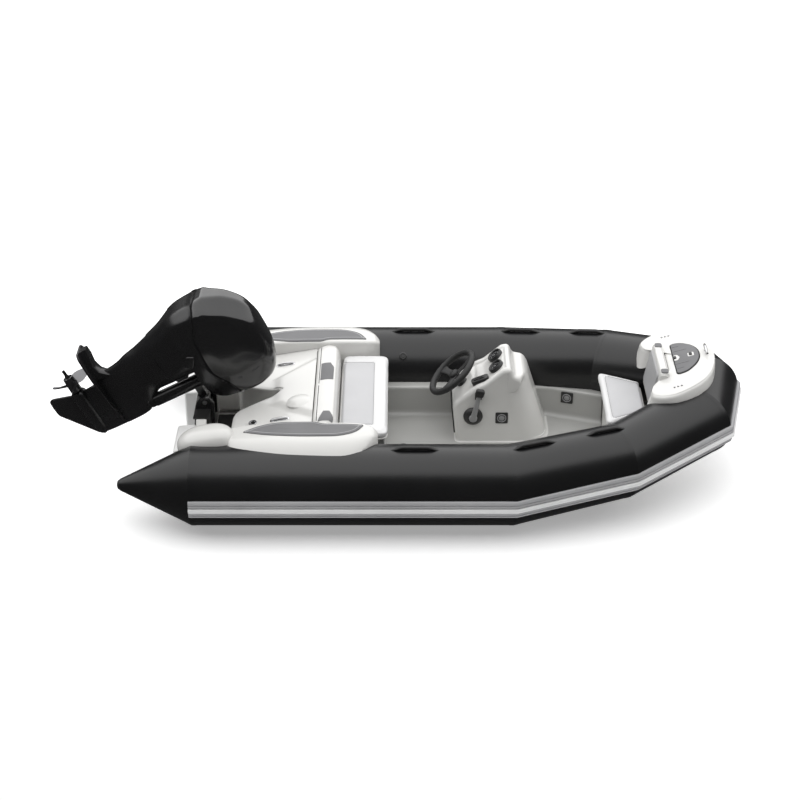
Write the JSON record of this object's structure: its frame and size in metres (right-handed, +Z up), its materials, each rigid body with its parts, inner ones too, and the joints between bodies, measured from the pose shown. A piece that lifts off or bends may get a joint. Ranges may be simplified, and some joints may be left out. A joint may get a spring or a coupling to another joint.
{
  "type": "inflatable rib boat",
  "caption": "Rigid-hulled inflatable tender with white deck and seats, steering console, black tubes and a tilted outboard engine.",
  "frame": {"origin": "on the waterline, on the centreline, amidships: the z = 0 plane is the surface of the water", "axes": "+X forward to the bow, +Y to port, +Z up"},
  "size_m": [3.9453, 1.828, 1.1827],
  "materials": {
    "tube_skin": "satin",
    "strake_grey": "satin",
    "strake_white": "satin",
    "gelcoat": "gloss",
    "sole_grey": "satin",
    "vinyl": "satin",
    "deck_pad": "matte",
    "steel": "polished",
    "black_plastic": "satin",
    "grey_plastic": "satin",
    "grip_rubber": "satin",
    "engine_paint": "satin",
    "cowl_gloss": "gloss",
    "engine_block": "matte",
    "hinge_steel": "satin"
  },
  "bodies": {
    "root": {"rigid_hull": "gelcoat", "cockpit_sole": "sole_grey", "cockpit_sides": "gelcoat", "transom_board": "gelcoat", "stern_wings": "gelcoat", "aft_deck": "gelcoat", "side_tubes": "tube_skin", "shoulder_tubes": "tube_skin", "bow_tubes": "tube_skin", "nose_tube": "tube_skin", "rubbing_strake": "strake_grey", "strake_insert": "strake_white", "cone_caps": "black_plastic", "tube_valves": "black_plastic", "grab_handles": "grip_rubber", "tow_eyes": "steel", "quarter_mouldings": "gelcoat", "quarter_pads": "deck_pad", "stern_steps": "gelcoat", "stern_cleats": "steel", "fuel_filler": "steel", "aft_seat_base": "gelcoat", "aft_backrest": "vinyl", "bow_seat_base": "gelcoat", "bow_moulding": "gelcoat", "bow_cleat": "steel", "console": "gelcoat", "gauges": "black_plastic", "dash_panels": "black_plastic", "steering_column": "black_plastic", "throttle_box": "black_plastic", "throttle_lever": "grey_plastic", "vents": "grey_plastic", "clamp_bracket": "engine_paint", "tilt_tube": "hinge_steel"},
    "swivel": {"swivel_bracket": "engine_paint"},
    "engine": {"steering_pivot": "engine_paint", "leg": "engine_paint", "gearcase": "engine_paint", "engine_pan": "engine_paint", "powerhead": "engine_block", "engine_cowl": "cowl_gloss"},
    "propeller": {"propeller": "engine_paint"},
    "wheel": {"steering_wheel": "grip_rubber"},
    "aft_seat": {"aft_seat_lid": "gelcoat", "aft_seat_cushion": "vinyl"},
    "bow_seat": {"bow_seat_lid": "gelcoat", "bow_seat_cushion": "vinyl"},
    "bow_hatch": {"bow_hatch": "deck_pad"},
    "console_door": {"console_door": "black_plastic"}
  },
  "joints": [
    {"name": "outboard_tilt", "type": "hinge", "parent": "root", "child": "swivel", "pos_m": [-1.337, 0, 0.4], "axis": [0, 1, 0], "range_deg": [-62.5, 0]},
    {"name": "outboard_steer", "type": "hinge", "parent": "swivel", "child": "engine", "pos_m": [-1.38548, 0, 0.49314], "axis": [0.887, 0, 0.4617], "range_deg": [-30, 30]},
    {"name": "propeller_spin", "type": "hinge", "parent": "engine", "child": "propeller", "pos_m": [-2.09274, 0, 0.4722], "axis": [0.4617, 0, -0.887], "continuous": true},
    {"name": "wheel_turn", "type": "hinge", "parent": "root", "child": "wheel", "pos_m": [0.068, 0.242, 0.412], "axis": [-0.6691, 0, 0.7431], "range_deg": [-540, 540]},
    {"name": "aft_seat_open", "type": "hinge", "parent": "root", "child": "aft_seat", "pos_m": [-0.5725, 0, 0.4185], "axis": [0, -1, 0], "range_deg": [0, 85]},
    {"name": "bow_seat_open", "type": "hinge", "parent": "root", "child": "bow_seat", "pos_m": [1.1545, 0, 0.3925], "axis": [0, 1, 0], "range_deg": [0, 60]},
    {"name": "bow_hatch_open", "type": "hinge", "parent": "root", "child": "bow_hatch", "pos_m": [1.3, 0, 0.6201], "axis": [0, -1, 0], "range_deg": [0, 80]},
    {"name": "console_door_open", "type": "hinge", "parent": "root", "child": "console_door", "pos_m": [0.0772, 0.3485, 0.08], "axis": [0.0977, 0, -0.9952], "range_deg": [0, 90]}
  ],
  "couplings": [
    {"joint": "wheel_turn", "follows": "outboard_steer", "ratio": 18}
  ]
}
